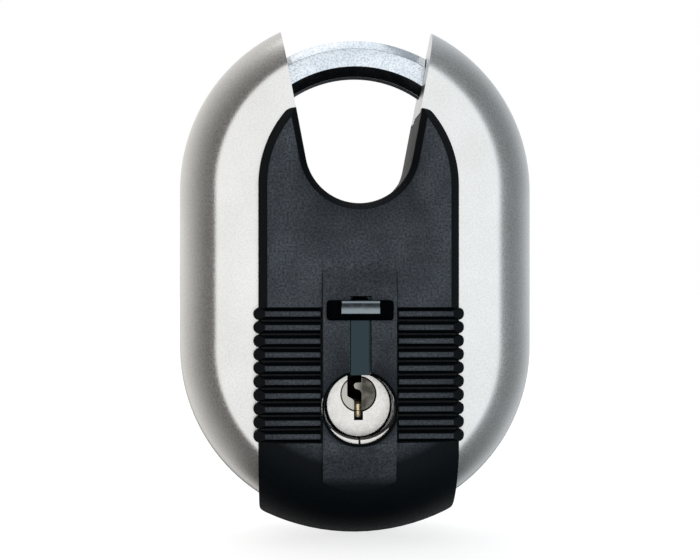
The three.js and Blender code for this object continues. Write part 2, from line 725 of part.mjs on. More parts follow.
add('slide_spring', buildLeaf(), steel);

export default group;
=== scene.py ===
import json
import math

import bmesh
import bpy
from mathutils import Matrix, Vector


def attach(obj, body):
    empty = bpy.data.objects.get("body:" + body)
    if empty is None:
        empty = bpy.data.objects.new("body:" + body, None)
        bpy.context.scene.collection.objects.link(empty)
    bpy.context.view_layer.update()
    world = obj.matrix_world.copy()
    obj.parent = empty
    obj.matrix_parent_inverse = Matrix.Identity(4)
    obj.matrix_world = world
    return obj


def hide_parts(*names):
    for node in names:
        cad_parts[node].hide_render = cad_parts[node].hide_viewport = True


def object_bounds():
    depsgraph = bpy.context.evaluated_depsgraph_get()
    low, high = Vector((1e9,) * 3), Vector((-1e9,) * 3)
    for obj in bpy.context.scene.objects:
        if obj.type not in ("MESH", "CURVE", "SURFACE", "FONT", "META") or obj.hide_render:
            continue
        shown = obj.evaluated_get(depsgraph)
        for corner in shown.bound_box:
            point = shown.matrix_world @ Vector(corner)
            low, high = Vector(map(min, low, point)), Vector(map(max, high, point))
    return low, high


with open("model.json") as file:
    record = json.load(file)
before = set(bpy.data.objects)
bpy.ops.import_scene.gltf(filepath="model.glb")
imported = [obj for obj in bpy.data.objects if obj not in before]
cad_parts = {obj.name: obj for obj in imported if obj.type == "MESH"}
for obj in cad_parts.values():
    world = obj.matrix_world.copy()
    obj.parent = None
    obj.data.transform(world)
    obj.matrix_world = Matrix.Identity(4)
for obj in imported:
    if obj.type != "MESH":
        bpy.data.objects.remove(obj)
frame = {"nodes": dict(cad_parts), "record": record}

cad_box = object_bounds()

# Lengths are in millimetres about the centre of the shackle's ring until
# place() turns them into metres in the row frame.
RING_CENTRE_Z = -27.6
DEG = math.pi / 180


# ---------------------------------------------------------------- meshes

def new_piece(name, verts, faces):
    mesh = bpy.data.meshes.new(name)
    mesh.from_pydata([tuple(v) for v in verts], [], faces)
    work = bmesh.new()
    work.from_mesh(mesh)
    bmesh.ops.remove_doubles(work, verts=work.verts, dist=1e-5)
    bmesh.ops.recalc_face_normals(work, faces=work.faces)
    work.to_mesh(mesh)
    work.free()
    piece = bpy.data.objects.new(name, mesh)
    bpy.context.scene.collection.objects.link(piece)
    return piece


def loft(rings, name="tool", closed=False):
    """Joins rings of equal length; closed joins the last to the first."""
    n = len(rings[0])
    faces = []
    for k in range(len(rings) if closed else len(rings) - 1):
        a, b = k * n, ((k + 1) % len(rings)) * n
        faces += [(a + i, a + (i + 1) % n, b + (i + 1) % n, b + i) for i in range(n)]
    if not closed:
        faces.append(tuple(reversed(range(n))))
        faces.append(tuple(range((len(rings) - 1) * n, len(rings) * n)))
    return new_piece(name, [v for ring in rings for v in ring], faces)


def levels(outline, profile, name="tool"):
    """Stacks outline(offset), a list of (x, z), at the (offset, y) pairs of profile."""
    return loft([[(x, y, z) for x, z in outline(d)] for d, y in profile], name)


def plate(points, y0, y1, name="tool"):
    return loft([[(x, y, z) for x, z in points] for y in (y0, y1)], name)


def box(x0, x1, y0, y1, z0, z1, name="tool"):
    return plate([(x0, z0), (x1, z0), (x1, z1), (x0, z1)], y0, y1, name)


def circle(radius, x=0.0, z=0.0, sides=96):
    turn = [2 * math.pi * i / sides for i in range(sides)]
    return [(x + radius * math.cos(a), z + radius * math.sin(a)) for a in turn]


def turned(profile, x, z, sides=96, name="tool"):
    """A solid turned about a line along Y through x, z; profile is (radius, y) pairs."""
    return levels(lambda r: circle(r, x, z, sides), profile, name)


def upright(x, y, profile, sides=24, name="tool"):
    """A solid turned about a line along Z; profile is (radius, z) pairs."""
    turn = [2 * math.pi * i / sides for i in range(sides)]
    rings = [[(x + r * math.cos(a), y + r * math.sin(a), z) for a in turn] for r, z in profile]
    return loft(rings, name)


def combine(target, tool, operation="DIFFERENCE"):
    modifier = target.modifiers.new("cut", "BOOLEAN")
    modifier.object = tool
    modifier.operation = operation
    modifier.solver = "EXACT"
    bpy.context.view_layer.update()
    graph = bpy.context.evaluated_depsgraph_get()
    mesh = bpy.data.meshes.new_from_object(target.evaluated_get(graph))
    target.modifiers.remove(modifier)
    old = target.data
    target.data = mesh
    bpy.data.meshes.remove(old)
    spent = tool.data
    bpy.data.objects.remove(tool)
    bpy.data.meshes.remove(spent)
    return target


def mirrored(piece, axis):
    """Turns a piece into its mirror image through the plane across axis."""
    scale = Vector((1, 1, 1))
    scale["xyz".index(axis)] = -1
    piece.data.transform(Matrix.Diagonal(scale).to_4x4())
    piece.data.flip_normals()
    return piece


def place(piece, body, material, nodes=(), bevel=0.0, segments=2, sharp=30.0):
    """Moves a finished shape into the row frame and hangs it on its CAD body."""
    work = bmesh.new()
    work.from_mesh(piece.data)
    bmesh.ops.remove_doubles(work, verts=work.verts, dist=2e-3)
    bmesh.ops.dissolve_degenerate(work, edges=work.edges, dist=2e-3)
    work.to_mesh(piece.data)
    work.free()
    piece.data.transform(Matrix.Translation((0, 0, RING_CENTRE_Z)))
    piece.data.transform(Matrix.Diagonal((0.001, 0.001, 0.001, 1)))
    piece.data.shade_smooth()
    if bevel:
        modifier = piece.modifiers.new("edge", "BEVEL")
        modifier.width = bevel * 0.001
        modifier.segments = segments
        modifier.limit_method = "ANGLE"
        modifier.angle_limit = sharp * DEG
        modifier.use_clamp_overlap = True
        modifier.harden_normals = True
    else:
        piece.data.set_sharp_from_angle(angle=sharp * DEG)
    piece.data.materials.clear()
    piece.data.materials.append(material)
    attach(piece, body)
    if nodes:
        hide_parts(*nodes)
    return piece


# ------------------------------------------------------------- materials

class Paint:
    """A Principled material whose maps are noise in object space, in metres."""

    def __init__(self, name, metallic=0.0, **sockets):
        self.material = bpy.data.materials.new(name)
        self.material.use_nodes = True
        self.tree = self.material.node_tree
        self.shader = self.tree.nodes["Principled BSDF"]
        self.shader.inputs["Metallic"].default_value = metallic
        for socket, value in sockets.items():
            self.shader.inputs[socket.replace("_", " ")].default_value = value
        self.coordinates = self.tree.nodes.new("ShaderNodeTexCoord")

    def link(self, source, socket):
        self.tree.links.new(source, socket)

    def noise(self, size_mm, detail=3.0, stretch=(1, 1, 1), offset=0.0):
        mapping = self.tree.nodes.new("ShaderNodeMapping")
        mapping.inputs["Scale"].default_value = stretch
        mapping.inputs["Location"].default_value = (offset, offset * 0.7, offset * 1.3)
        self.link(self.coordinates.outputs["Object"], mapping.inputs["Vector"])
        node = self.tree.nodes.new("ShaderNodeTexNoise")
        node.inputs["Scale"].default_value = 1000.0 / size_mm
        node.inputs["Detail"].default_value = detail
        self.link(mapping.outputs["Vector"], node.inputs["Vector"])
        return node.outputs["Fac"]

    def grains(self, size_mm):
        node = self.tree.nodes.new("ShaderNodeTexVoronoi")
        node.inputs["Scale"].default_value = 1000.0 / size_mm
        self.link(self.coordinates.outputs["Object"], node.inputs["Vector"])
        return node.outputs["Distance"]

    def span(self, value, low, high, start=0.35, end=0.65):
        node = self.tree.nodes.new("ShaderNodeMapRange")
        node.inputs["From Min"].default_value = start
        node.inputs["From Max"].default_value = end
        node.inputs["To Min"].default_value = low
        node.inputs["To Max"].default_value = high
        self.link(value, node.inputs["Value"])
        return node.outputs["Result"]

    def tint(self, value, low, high, start=0.35, end=0.65):
        node = self.tree.nodes.new("ShaderNodeValToRGB")
        node.color_ramp.elements[0].position = start
        node.color_ramp.elements[0].color = (*low, 1)
        node.color_ramp.elements[1].position = end
        node.color_ramp.elements[1].color = (*high, 1)
        self.link(value, node.inputs["Fac"])
        return node.outputs["Color"]

    def absolute(self, value):
        node = self.tree.nodes.new("ShaderNodeMath")
        node.operation = "ABSOLUTE"
        self.link(value, node.inputs[0])
        return node.outputs["Value"]

    def product(self, a, b):
        node = self.tree.nodes.new("ShaderNodeMath")
        node.operation = "MULTIPLY"
        self.link(a, node.inputs[0])
        self.link(b, node.inputs[1])
        return node.outputs["Value"]

    def mix(self, factor, a, b, mode="MIX"):
        node = self.tree.nodes.new("ShaderNodeMix")
        node.data_type = "RGBA"
        node.blend_type = mode
        if isinstance(factor, float):
            node.inputs[0].default_value = factor
        else:
            self.link(factor, node.inputs[0])
        for socket, colour in ((node.inputs[6], a), (node.inputs[7], b)):
            if isinstance(colour, tuple):
                socket.default_value = (*colour, 1)
            else:
                self.link(colour, socket)
        return node.outputs[2]

    def colour(self, source):
        self.link(source, self.shader.inputs["Base Color"])

    def roughness(self, source):
        self.link(source, self.shader.inputs["Roughness"])

    def bump(self, *layers):
        """Each layer is (height, distance in mm, strength)."""
        normal = None
        for height, distance, strength in layers:
            node = self.tree.nodes.new("ShaderNodeBump")
            node.inputs["Strength"].default_value = strength
            node.inputs["Distance"].default_value = distance * 0.001
            self.link(height, node.inputs["Height"])
            if normal:
                self.link(normal, node.inputs["Normal"])
            normal = node.outputs["Normal"]
        self.link(normal, self.shader.inputs["Normal"])


def blasted_steel():
    paint = Paint("blasted_steel", 1.0)
    broad = paint.noise(14, 2)
    grain = paint.noise(0.42, 5)
    base = paint.tint(broad, (0.585, 0.585, 0.57), (0.625, 0.625, 0.615))
    specks = paint.tint(grain, (0.88, 0.88, 0.88), (1.05, 1.05, 1.05), 0.36, 0.64)
    paint.colour(paint.mix(1.0, base, specks, "MULTIPLY"))
    paint.roughness(paint.span(grain, 0.26, 0.34))
    paint.bump((grain, 0.045, 0.6))
    return paint.material


def moulded_plastic(name, face_depth):
    """Grained charcoal on the raised front faces; the edges, slopes and groove floors are painted
    near black as shade.
    """
    paint = Paint(name, 0.0, Specular_IOR_Level=0.11)
    grain = paint.noise(0.5, 4)
    fine = paint.grains(0.45)
    facing = paint.tree.nodes.new("ShaderNodeSeparateXYZ")
    paint.link(paint.coordinates.outputs["Normal"], facing.inputs["Vector"])
    spot = paint.tree.nodes.new("ShaderNodeSeparateXYZ")
    paint.link(paint.coordinates.outputs["Object"], spot.inputs["Vector"])
    # Picks the raised front faces; every other face gets the painted shade below
    flat = paint.span(paint.absolute(facing.outputs["Y"]), 0, 1, 0.93, 0.998)
    depth = paint.absolute(spot.outputs["Y"])
    high = paint.span(depth, 0, 1, face_depth - 0.0009, face_depth - 0.0003)
    raised = paint.product(flat, high)
    base = paint.tint(paint.noise(7, 4), (0.044, 0.052, 0.063), (0.063, 0.074, 0.087))
    flecks = paint.tint(grain, (0.48, 0.48, 0.48), (1.45, 1.45, 1.45), 0.35, 0.66)
    grained = paint.mix(1.0, base, flecks, "MULTIPLY")
    # Painted shade: near black wherever a face slopes away from the front or sits down in a groove
    paint.colour(paint.mix(raised, (0.0014, 0.0032, 0.0048), grained))
    paint.roughness(paint.span(grain, 0.44, 0.60))
    paint.bump((fine, 0.05, 0.30), (grain, 0.05, 0.25))
    return paint.material


def plated_shackle():
    paint = Paint("plated_shackle", 1.0)
    grain = paint.noise(0.45, 4)
    base = paint.tint(paint.noise(6, 2), (0.50, 0.535, 0.57), (0.59, 0.615, 0.645))
    flecks = paint.tint(grain, (0.62, 0.68, 0.72), (1, 1, 1), 0.36, 0.55)
    paint.colour(paint.mix(1.0, base, flecks, "MULTIPLY"))
    paint.roughness(paint.span(paint.noise(3, 3), 0.14, 0.22))
    paint.bump((paint.noise(1.6, 2), 0.05, 0.35), (grain, 0.015, 0.3))
    return paint.material


def satin_nickel():
    paint = Paint("satin_nickel", 1.0)
    swirl = paint.noise(0.6, 3)
    paint.colour(paint.tint(paint.noise(4, 2), (0.590, 0.575, 0.550), (0.632, 0.618, 0.595)))
    paint.roughness(paint.span(swirl, 0.34, 0.42))
    paint.bump((swirl, 0.012, 0.25))
    return paint.material


def painted_shade_nickel():
    """Nickel below the surface, painted near black as shade: the keyway, the bore and the bezel's
    wall.
    """
    paint = Paint("painted_shade_nickel", 1.0)
    shade_noise = paint.noise(2, 3)
    paint.colour(paint.tint(shade_noise, (0.006, 0.006, 0.006), (0.014, 0.014, 0.014)))
    paint.roughness(paint.span(shade_noise, 0.55, 0.7))
    return paint.material


def plug_nickel():
    """Painted light and shade: lighter on the left of the face, painted dark on the right as shade.
    """
    paint = Paint("plug_nickel", 1.0)
    streaks = paint.noise(0.5, 3, stretch=(1, 1, 3))
    spot = paint.tree.nodes.new("ShaderNodeSeparateXYZ")
    paint.link(paint.coordinates.outputs["Object"], spot.inputs["Vector"])
    # Painted shade: the face darkens from left to right
    across = paint.span(spot.outputs["X"], 0, 1, -0.0016, 0.0010)
    bright = paint.tint(streaks, (0.36, 0.35, 0.315), (0.45, 0.44, 0.405))
    painted_shade_side = paint.tint(paint.noise(2.2, 3), (0.050, 0.047, 0.040), (0.130, 0.122, 0.104), 0.40, 0.62)
    paint.colour(paint.mix(across, bright, painted_shade_side))
    paint.roughness(paint.span(streaks, 0.30, 0.45))
    paint.bump((streaks, 0.02, 0.3))
    return paint.material


def turned_brass():
    paint = Paint("turned_brass", 0.75)
    lines = paint.noise(0.35, 2, stretch=(0.2, 0.2, 2))
    paint.colour(paint.tint(lines, (0.74, 0.60, 0.36), (0.90, 0.78, 0.52)))
    paint.roughness(paint.span(lines, 0.38, 0.50))
    paint.bump((lines, 0.01, 0.3))
    return paint.material


def polished_black(name, level, tint, low, high):
    """Black plastic; the shutter gets a glossy copy, and the bar and tab get a copy painted near
    black with no reflection, as shade.
    """
    paint = Paint(name, 0.0, Specular_IOR_Level=level)
    paint.shader.inputs["Specular Tint"].default_value = (*tint, 1)
    haze = paint.noise(2.5, 3)
    paint.colour(paint.tint(haze, low, high))
    paint.roughness(paint.span(haze, 0.20, 0.30))
    paint.bump((paint.noise(1.2, 2), 0.01, 0.15))
    return paint.material


def rubbed_thumb_pad():
    paint = Paint("rubbed_thumb_pad", 0.0, IOR=2.7)
    paint.shader.inputs["Specular Tint"].default_value = (0.80, 0.92, 1.0, 1)
    haze = paint.noise(1.5, 3)
    paint.colour(paint.tint(haze, (0.010, 0.015, 0.019), (0.018, 0.025, 0.030)))
    paint.roughness(paint.span(haze, 0.16, 0.30))
    paint.bump((paint.noise(1.7, 3), 0.06, 0.5))
    return paint.material


def cast_zinc():
    paint = Paint("cast_zinc", 0.9)
    grain = paint.noise(0.9, 5)
    paint.colour(paint.tint(paint.noise(6, 4), (0.36, 0.36, 0.37), (0.52, 0.52, 0.52)))
    paint.roughness(paint.span(grain, 0.45, 0.65))
    paint.bump((grain, 0.06, 0.5))
    return paint.material


def plated_steel():
    paint = Paint("plated_steel", 1.0)
    cloud = paint.noise(3, 4)
    paint.colour(paint.tint(cloud, (0.52, 0.53, 0.55), (0.68, 0.68, 0.69)))
    paint.roughness(paint.span(cloud, 0.28, 0.42))
    paint.bump((paint.noise(0.5, 3), 0.015, 0.3))
    return paint.material


def oiled_steel():
    paint = Paint("oiled_steel", 1.0)
    cloud = paint.noise(2.5, 4)
    paint.colour(paint.tint(cloud, (0.24, 0.22, 0.20), (0.40, 0.38, 0.36)))
    paint.roughness(paint.span(cloud, 0.22, 0.40))
    paint.bump((paint.noise(0.6, 3), 0.02, 0.3))
    return paint.material


STEEL = blasted_steel()
FRONT_PLASTIC = moulded_plastic("front_moulding", 0.0180)
REAR_PLASTIC = moulded_plastic("rear_moulding", 0.0166)
SHACKLE = plated_shackle()
NICKEL = satin_nickel()
PLUG = plug_nickel()
BRASS = turned_brass()
GLOSS = polished_black(
    "polished_black", 0.42, (0.60, 0.88, 1.0), (0.0025, 0.006, 0.009), (0.006, 0.012, 0.016))
# Painted shade: the bar and tab, near black with no reflection
SHADED_BLACK = polished_black(
    "painted_shade_black", 0.0, (0.8, 0.95, 1.0), (0.0006, 0.0012, 0.002), (0.0012, 0.0022, 0.003))
PAINTED_SHADE = painted_shade_nickel()
THUMB = rubbed_thumb_pad()
ZINC = cast_zinc()
PLATED = plated_steel()
OILED = oiled_steel()

# Hidden pieces keep their CAD shapes
FINISH = {
    "core_zinc": ZINC, "inner_steel": PLATED, "gear_steel": OILED, "pin_brass": BRASS,
    "barrel_nickel": NICKEL, "plug_nickel": PLUG, "slide_plastic": GLOSS,
    "shell_steel": STEEL, "cover_plastic": FRONT_PLASTIC, "shackle_steel": SHACKLE,
}
slot_of = {row["node"]: row["material_slot"] for row in frame["record"]["subparts"]}
for node_name, node in frame["nodes"].items():
    node.data.materials.clear()
    node.data.materials.append(FINISH[slot_of[node_name]])


# ---------------------------------------------------------------- shells

BODY_R, BODY_RISE, BODY_DROP, BODY_HALF = 43.0, -0.4, 38.5, 13.5
RIM_HALF, SHOULDER_RUN, SHOULDER_ANGLE = 1.5, 9.5, 65.0
SHELL_WALL, HORN_WALL, GAP = 2.0, 2.5, 0.3
OPEN_HALF, OPEN_TAPER, OPEN_Z = 11.3, 0.19, 8.4
OPEN_R = (OPEN_HALF + OPEN_TAPER * OPEN_Z) / math.hypot(1, OPEN_TAPER)
HORN_FOOT = 17.4
LINER = 1.5
# The opening is this much wider in the rear shell and cover than in the front ones
REAR_WIDEN = 0.6
R_IN, R_OUT, SHACKLE_FLAT = 27.6, 36.4, 4.3
PLUG_Z = -49.3
BARREL_Z = PLUG_Z - 2.9
POSTS = [(-17, -26), (17, -26), (0, -69)]


def stadium_outline(radius, z_upper=BODY_RISE, z_lower=-BODY_DROP, steps=64):
    upper = [-90 + 180 * i / steps for i in range(steps + 1)]
    points = [(radius * math.sin(a * DEG), z_upper + radius * math.cos(a * DEG)) for a in upper]
    lower = [90 + 180 * i / steps for i in range(steps + 1)]
    return points + [
        (radius * math.sin(a * DEG), z_lower + radius * math.cos(a * DEG)) for a in lower
    ]


def body_profile(offset, y_end, steps=22, rounded=False):
    """(radius, y) from the edge of the flat face out to the rim, grown by offset."""
    run = SHOULDER_RUN / (1 - math.cos(SHOULDER_ANGLE * DEG))
    rise = (BODY_HALF - RIM_HALF) / math.sin(SHOULDER_ANGLE * DEG)
    points = []
    for i in range(steps, -1, -1):
        a = SHOULDER_ANGLE * DEG * i / steps
        size = math.hypot(math.cos(a) / run, math.sin(a) / rise)
        r = BODY_R - run * (1 - math.cos(a)) + offset * math.cos(a) / run / size
        y = -RIM_HALF - rise * math.sin(a) - offset * math.sin(a) / rise / size
        points.append((r, y))
    face = -BODY_HALF - offset
    if rounded:
        crease = points[0][0]
        eased = [(crease - 0.9, face), (crease - 0.35, face + 0.015), (crease + 0.1, face + 0.09)]
        points = eased + points[1:]
        points += [(BODY_R + offset, y_end - 0.35), (BODY_R + offset - 0.28, y_end)]
    else:
        points = [(points[0][0] + 0.01, face)] + [p for p in points[1:] if p[1] > face]
        points.append((BODY_R + offset, y_end))
    return points


def opening_outline(offset=0.0, steps=48, top=60.0):
    lean = math.atan(OPEN_TAPER)
    r = OPEN_R + offset
    x, z = r * math.cos(lean), OPEN_Z - r * math.sin(lean)
    edge = x + OPEN_TAPER * (top - z)
    arc = [-lean - (math.pi - 2 * lean) * i / steps for i in range(steps + 1)]
    round_foot = [(r * math.cos(a), OPEN_Z + r * math.sin(a)) for a in arc]
    return [(edge, top)] + round_foot + [(-edge, top)]


def octagon(grow=0.0, radius=0.0, steps=3):
    """Corners of the shackle's section as (ring radius, y), rounded by radius."""
    middle, half = (R_IN + R_OUT) / 2, (R_OUT - R_IN) / 2 + grow
    flat = SHACKLE_FLAT / 2 + grow * math.tan(22.5 * DEG)
    corners = [
        (-flat, -half), (flat, -half), (half, -flat), (half, flat),
        (flat, half), (-flat, half), (-half, flat), (-half, -flat),
    ]
    if not radius:
        return [(middle + r, y) for r, y in corners]
    points = []
    for i, corner in enumerate(corners):
        before = Vector(corners[i - 1]) - Vector(corner)
        after = Vector(corners[(i + 1) % 8]) - Vector(corner)
        reach = radius * math.tan(22.5 * DEG)
        start = Vector(corner) + before.normalized() * reach
        end = Vector(corner) + after.normalized() * reach
        for k in range(steps + 1):
            t = k / steps
            bend = start * (1 - t) ** 2 + Vector(corner) * 2 * t * (1 - t) + end * t * t
            points.append((middle + bend.x, bend.y))
    return points


def arc_loft(sections, name="tool"):
    """Sections are (angle clockwise from the top, [(ring radius, y)])."""
    rings = []
    for angle, section in sections:
        s, c = math.sin(angle * DEG), math.cos(angle * DEG)
        rings.append([(r * s, y, r * c) for r, y in section])
    return loft(rings, name)


def shell_solid(name, extra, widen=0.0):
    shell = levels(stadium_outline, body_profile(0, -0.12, rounded=True), name)
    hollow = levels(stadium_outline, body_profile(-SHELL_WALL, 1.0, 8))
    horn_ends = plate(opening_outline(HORN_WALL), -20, 5)
    combine(horn_ends, box(-60, 60, -30, 10, HORN_FOOT, 55), "INTERSECT")
    combine(hollow, horn_ends)
    combine(shell, hollow)
    combine(shell, plate(opening_outline(widen), -40, 40))
    liner_gap = plate(opening_outline(LINER + GAP, top=HORN_FOOT), -40, 40)
    combine(shell, liner_gap)
    hole = octagon(0.4)
    combine(shell, arc_loft([(a, hole) for a in range(-60, 61, 2)]))
    for tool in extra:
        combine(shell, tool)
    return shell


def post_holes():
    return [turned([(1.8, -16), (1.8, -10)], x, z, 24) for x, z in POSTS]


cylinder_hole = turned([(8.4, -16), (8.4, -8)], 0, BARREL_Z)
front_shell = shell_solid("front_shell_skin", post_holes() + [cylinder_hole])
place(front_shell, "housing", STEEL, ["front_shell"], bevel=0.22, sharp=38)
rear_shell = mirrored(shell_solid("rear_shell_skin", post_holes(), REAR_WIDEN), "y")
place(rear_shell, "housing", STEEL, ["rear_shell"], bevel=0.22, sharp=38)


# --------------------------------------------------------------- shackle

def shackle_solid():
    full = octagon(0, 0.22)
    middle = (R_IN + R_OUT) / 2

    def shrunk(k):
        return [(middle + (r - middle) * k, y * k) for r, y in full]

    ends = [(-42, shrunk(0.86)), (-41.3, shrunk(0.97)), (-40.5, full)]
    sections = ends + [(a, full) for a in range(-39, 93)] + [(93.4, full), (94, shrunk(0.93))]
    return arc_loft(sections, "shackle_bar")


shackle = shackle_solid()
place(shackle, "shackle", SHACKLE, ["shackle"], sharp=24)


# ---------------------------------------------------------------- covers

COVER_HALF, COVER_SHOULDER_R, COVER_TOP, LINER_TOP = 23.6, 26.8, 18.1, 17.1
COVER_FACE, REAR_FACE = 18.0, 16.6
COVER_END_R, COVER_END_Z = 51.3, -33.1
# Inset and depth of the points where each cover rounds under
REAR_DOME = [(20.9, 0), (16.6, 0.6), (12.7, 1.8), (8.9, 3.9), (5.4, 7), (2.6, 10.8), (0.8, 14.4)]
FRONT_DOME = [
    (24, 0), (20.6, 0.42), (16.6, 1.2), (12.7, 2.5), (8.9, 4.6), (5.4, 7.5), (2.6, 11), (0.8, 14.4),
]
STRIP_HALF, STRIP_FACE, STRIP_GROOVE = 8.55, 19.5, 0.26
RIB_COUNT, RIB_TOP_Z, RIB_PITCH = 10, -30.2, 3.17
RIB_HALF, RIB_SLOPE, RIB_DEPTH = 0.62, 0.79, 1.3
SLIDE_HALF, SLIDE_GAP, SLIDE_TOP, SLIDE_FOOT = 2.1, 0.35, -26.3, -44.4
BAR_Z = -29.3
RAIL_HALF, RAIL_SLOT_HALF, SPRING_SLOT_HALF = 3.8, 4.2, 1.8


def bezier(a, b, c, steps):
    points = []
    for i in range(steps + 1):
        t = i / steps
        points.append(tuple(
            p * (1 - t) ** 2 + q * 2 * t * (1 - t) + r * t * t for p, q, r in zip(a, b, c)
        ))
    return points


def cover_outline(inset=0.0):
    """The cover seen from the front, drawn in by inset."""
    half = COVER_HALF - inset
    arc_r = COVER_SHOULDER_R - inset
    lift = COVER_SHOULDER_R - COVER_HALF
    end_r = COVER_END_R - inset * 0.4
    top_angle = math.asin(LINER_TOP / arc_r) / DEG
    corner_z = COVER_END_Z - math.sqrt(end_r ** 2 - half ** 2)
    end_x = half - 1.6
    end_angle = math.acos(end_x / end_r) / DEG
    right = [
        (-lift + arc_r * math.cos(a * DEG), arc_r * math.sin(a * DEG))
        for a in [top_angle * (1 - i / 24) for i in range(25)]
    ]
    x, z = right[0]
    right = bezier((15.2 - inset, COVER_TOP), (x - 0.8, z + 0.95), (x, z), 6)[:-1] + right
    right += [(half, corner_z + 1.6 - (corner_z + 1.6) * (1 - i / 10)) for i in range(1, 10)]
    end = (end_x, COVER_END_Z - end_r * math.sin(end_angle * DEG))
    right += bezier((half, corner_z + 1.6), (half, corner_z), end, 6)
    arc = [
        (end_r * math.cos(a * DEG), COVER_END_Z - end_r * math.sin(a * DEG))
        for a in [end_angle + (180 - 2 * end_angle) * i / 32 for i in range(1, 16)]
    ]
    right += arc
    middle = [(0.0, COVER_END_Z - end_r)]
    return right + middle + [(-x, z) for x, z in reversed(right)]


def smooth_profile(points, per=5):
    """A Catmull-Rom curve through (radius, y) pairs."""
    out = []
    for i in range(len(points) - 1):
        p0 = Vector(points[max(i - 1, 0)])
        p1, p2 = Vector(points[i]), Vector(points[i + 1])
        p3 = Vector(points[min(i + 2, len(points) - 1)])
        for k in range(per):
            t = k / per
            v = 0.5 * (
                2 * p1 + (p2 - p0) * t + (2 * p0 - 5 * p1 + 4 * p2 - p3) * t * t
                + (3 * p1 - p0 - 3 * p2 + p3) * t ** 3
            )
            out.append((v.x, v.y))
    return out + [points[-1]]


def cover_dome(face, points):
    corners = [(COVER_END_R - d, -face + y) for d, y in points] + [(COVER_END_R, -1)]
    profile = smooth_profile(corners)
    profile += [(COVER_END_R, 4)]
    return levels(lambda r: stadium_outline(r, 40, COVER_END_Z, 56), profile)


def cover_solid(name, face, dome, widen=0.0):
    edge = [
        (2.3, -face), (2.02, -face + 0.05), (1.82, -face + 0.2), (0.22, -face + 1.95),
        (0.05, -face + 2.2), (0, -face + 2.5), (0, 3),
    ]
    cover = levels(cover_outline, edge, name)
    combine(cover, cover_dome(face, dome), "INTERSECT")
    combine(cover, levels(stadium_outline, body_profile(GAP, 1.0, 16)))
    combine(cover, box(-60, 60, -0.15, 40, -120, 60))
    liner = plate(opening_outline(LINER, top=LINER_TOP), -BODY_HALF - 1, -0.15)
    combine(cover, liner, "UNION")
    rim = [
        (1.75, -40), (1.75, -face - 0.1), (1.55, -face + 0.02), (1.3, -face + 0.25),
        (0.25, -face + 1.25), (0.08, -face + 1.5), (0, -face + 1.9), (0, 30),
    ]
    combine(cover, levels(opening_outline, [(grow + widen, y) for grow, y in rim]))
    return cover


def rib_outline(z):
    inner = STRIP_HALF + 0.6
    outer = COVER_HALF + 1.2 - RIB_SLOPE - RIB_HALF

    def outline(grow):
        h = RIB_HALF + grow
        end = [
            (outer + h * math.sin(a * DEG), z + h * math.cos(a * DEG)) for a in range(0, 181, 15)
        ]
        return [(inner, z + h)] + end + [(inner, z - h)]

    return outline


def add_ribs(cover, face):
    profile = [
        (-0.05, -face), (0.03, -face + 0.04), (0.09, -face + 0.14),
        (RIB_SLOPE - 0.08, -face + RIB_DEPTH - 0.1), (RIB_SLOPE, -face + RIB_DEPTH + 0.1),
        (RIB_SLOPE, -12.5),
    ]
    # The ribs' outer ends fall away with the cover's bevel
    ends = [
        (1.75, -face - 0.05), (1.6, -face + 0.03), (1.35, -face + 0.25),
        (-0.9, -face + 2.0), (-1.2, -face + 2.6), (-1.2, -10),
    ]
    for i in range(RIB_COUNT):
        outline = rib_outline(RIB_TOP_Z - i * RIB_PITCH)
        for side in (False, True):
            rib = levels(outline, profile)
            if side:
                mirrored(rib, "x")
            combine(rib, levels(cover_outline, ends), "INTERSECT")
            combine(cover, rib, "UNION")


def strip_solid(face):
    """The raised band down the middle, fading in at its top."""
    foot = bezier((-STRIP_HALF, -69.4), (0, -74.0), (STRIP_HALF, -69.4), 24)
    band = plate([(STRIP_HALF, -10), (-STRIP_HALF, -10)] + foot, -30, -10)
    side = [
        (-14, -17.2), (-face + 0.02, -17.2), (-face - 0.25, -19.6), (-face - 0.8, -22.4),
        (-STRIP_FACE + 0.12, -25.4), (-STRIP_FACE, -27.8), (-STRIP_FACE, -60.6),
        (-STRIP_FACE + 0.7, -64), (-STRIP_FACE + 1.7, -68), (-STRIP_FACE + 2.6, -71),
        (-STRIP_FACE + 3.4, -73), (-13, -73),
    ]
    rings = [[(x, y, z) for y, z in side] for x in (-10, 10)]
    return combine(band, loft(rings), "INTERSECT")


def front_cover_solid():
    face = COVER_FACE
    cover = cover_solid("front_cover_skin", face, FRONT_DOME)
    top = RIB_TOP_Z + RIB_PITCH / 2
    foot = RIB_TOP_Z - RIB_PITCH * (RIB_COUNT - 0.5)
    for low, high in ((STRIP_HALF + 0.05, 30), (-30, -STRIP_HALF - 0.05)):
        combine(cover, box(low, high, -30, -face + RIB_DEPTH, foot, top))
    add_ribs(cover, face)
    combine(cover, strip_solid(face), "UNION")
    for side in (-1, 1):
        x0, x1 = sorted((side * STRIP_HALF, side * (STRIP_HALF + STRIP_GROOVE)))
        combine(cover, box(x0, x1, -30, -face + 0.4, -69.2, -20.5))
    slot = SLIDE_HALF + SLIDE_GAP
    combine(cover, box(-slot + 0.1, slot + 0.22, -30, -16, -54, SLIDE_TOP + GAP))
    # Behind the face: room for the slide's rails and for its leaf spring
    combine(cover, box(-RAIL_SLOT_HALF, RAIL_SLOT_HALF, -17.3, -15.9, -54, SLIDE_TOP + GAP))
    combine(cover, box(-SPRING_SLOT_HALF, SPRING_SLOT_HALF, -16, -14.5, -43, -30))
    well = [
        (9.3, -40), (9.3, -19.75), (8.75, -19.35), (8.35, -18.9),
        (8.25, -18.6), (8.25, -18.3), (8.9, -18.25), (8.9, -8),
    ]
    combine(cover, turned(well, 0, BARREL_Z))
    return cover


